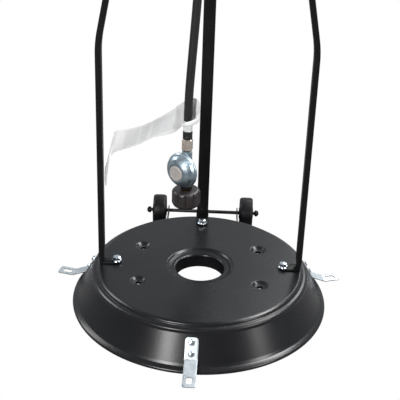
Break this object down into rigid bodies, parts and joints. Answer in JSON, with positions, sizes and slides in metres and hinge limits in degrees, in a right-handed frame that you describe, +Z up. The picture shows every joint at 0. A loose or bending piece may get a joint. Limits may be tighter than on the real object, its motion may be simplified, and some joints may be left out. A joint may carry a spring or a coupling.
{
  "type": "outdoor heater",
  "caption": "Free-standing gas patio heater: round pressed base with wheels and ground clips, bent tube legs, tall post, hanging regulator, burner head and dished reflector.",
  "frame": {"origin": "on the floor, under the post's axis and the middle of the round base", "axes": "+Z up along the post, -Y towards the open front, where the gas bottle goes in, +Y towards the rear leg and the wheels"},
  "size_m": [0.81, 0.81, 2.203],
  "materials": {
    "powder_coat": "satin black powder coat on pressed steel",
    "coated_tube": "satin black powder coat on steel tube",
    "zinc": "bright zinc plate",
    "galvanised": "bluish zinc-plated sheet steel",
    "nickel": "nickel-plated brass",
    "crimp_steel": "crimped plated steel",
    "stainless": "brushed stainless steel",
    "spun_aluminium": "spun and polished aluminium",
    "axle_steel": "black oxide steel rod",
    "black_plastic": "moulded black plastic",
    "hand_nut_plastic": "moulded brown-black plastic",
    "hose_rubber": "smooth black rubber hose",
    "brass": "turned brass",
    "cap_plastic": "pinkish-grey cap disc",
    "diaphragm_rubber": "reddish rubber",
    "tag_film": "thin white film with faint printed rules"
  },
  "bodies": {
    "root": {"base_pan": "powder_coat", "wheel_bracket_right": "powder_coat", "wheel_bracket_left": "powder_coat", "bracket_rivet_right": "powder_coat", "bracket_rivet_left": "powder_coat", "leg_right": "coated_tube", "leg_rear": "coated_tube", "leg_left": "coated_tube", "post": "coated_tube", "foot_bolt_right": "zinc", "foot_bolt_rear": "zinc", "foot_bolt_left": "zinc", "foot_nut_right": "zinc", "foot_nut_rear": "zinc", "foot_nut_left": "zinc", "leg_bolt_right": "zinc", "leg_bolt_rear": "zinc", "leg_bolt_left": "zinc", "clip_screw_front_upper": "zinc", "clip_screw_front_lower": "zinc", "clip_screw_right_upper": "zinc", "clip_screw_right_lower": "zinc", "clip_screw_left_upper": "zinc", "clip_screw_left_lower": "zinc", "reflector_stud_1": "zinc", "reflector_stud_2": "zinc", "reflector_stud_3": "zinc", "wing_nut_1": "zinc", "wing_nut_2": "zinc", "wing_nut_3": "zinc", "ground_clip_front": "galvanised", "ground_clip_right": "galvanised", "ground_clip_left": "galvanised", "regulator_body": "galvanised", "regulator_cover": "galvanised", "hose_nut": "nickel", "hose_ferrule": "crimp_steel", "control_housing": "stainless", "emitter_screen": "stainless", "burner_cap": "stainless", "mixer_tube": "stainless", "regulator_spring": "stainless", "reflector": "spun_aluminium", "axle": "axle_steel", "axle_cap_right": "black_plastic", "axle_cap_left": "black_plastic", "igniter": "black_plastic", "gas_hose": "hose_rubber", "gas_valve": "brass", "inlet_stem": "brass", "pilot_assembly": "brass", "regulator_cap": "cap_plastic", "regulator_diaphragm": "diaphragm_rubber", "hang_tag": "tag_film"},
    "wheel_right": {"wheel_right": "black_plastic"},
    "wheel_left": {"wheel_left": "black_plastic"},
    "coupling_nut": {"coupling_nut": "hand_nut_plastic"},
    "valve_stem": {"valve_stem": "stainless"},
    "control_knob": {"control_knob": "black_plastic"},
    "igniter_button": {"igniter_button": "black_plastic"}
  },
  "joints": [
    {"name": "wheel_right_spin", "type": "hinge", "parent": "root", "child": "wheel_right", "pos_m": [0.0885, 0.2655, 0.037], "axis": [1, 0, 0], "continuous": true},
    {"name": "wheel_left_spin", "type": "hinge", "parent": "root", "child": "wheel_left", "pos_m": [-0.0885, 0.2655, 0.037], "axis": [1, 0, 0], "continuous": true},
    {"name": "coupling_turn", "type": "hinge", "parent": "root", "child": "coupling_nut", "pos_m": [-0.0291, 0.0195, 0.2], "axis": [0, 0, 1], "continuous": true},
    {"name": "knob_push", "type": "slide", "parent": "root", "child": "valve_stem", "axis": [0, 1, 0], "range_m": [0, 0.005], "stiffness_N_per_m": 700},
    {"name": "knob_turn", "type": "hinge", "parent": "valve_stem", "child": "control_knob", "pos_m": [0, -0.086, 1.868], "axis": [0, -1, 0], "range_deg": [0, 180]},
    {"name": "igniter_press", "type": "slide", "parent": "root", "child": "igniter_button", "axis": [0.6157, 0.788, 0], "range_m": [0, 0.006], "stiffness_N_per_m": 500}
  ]
}
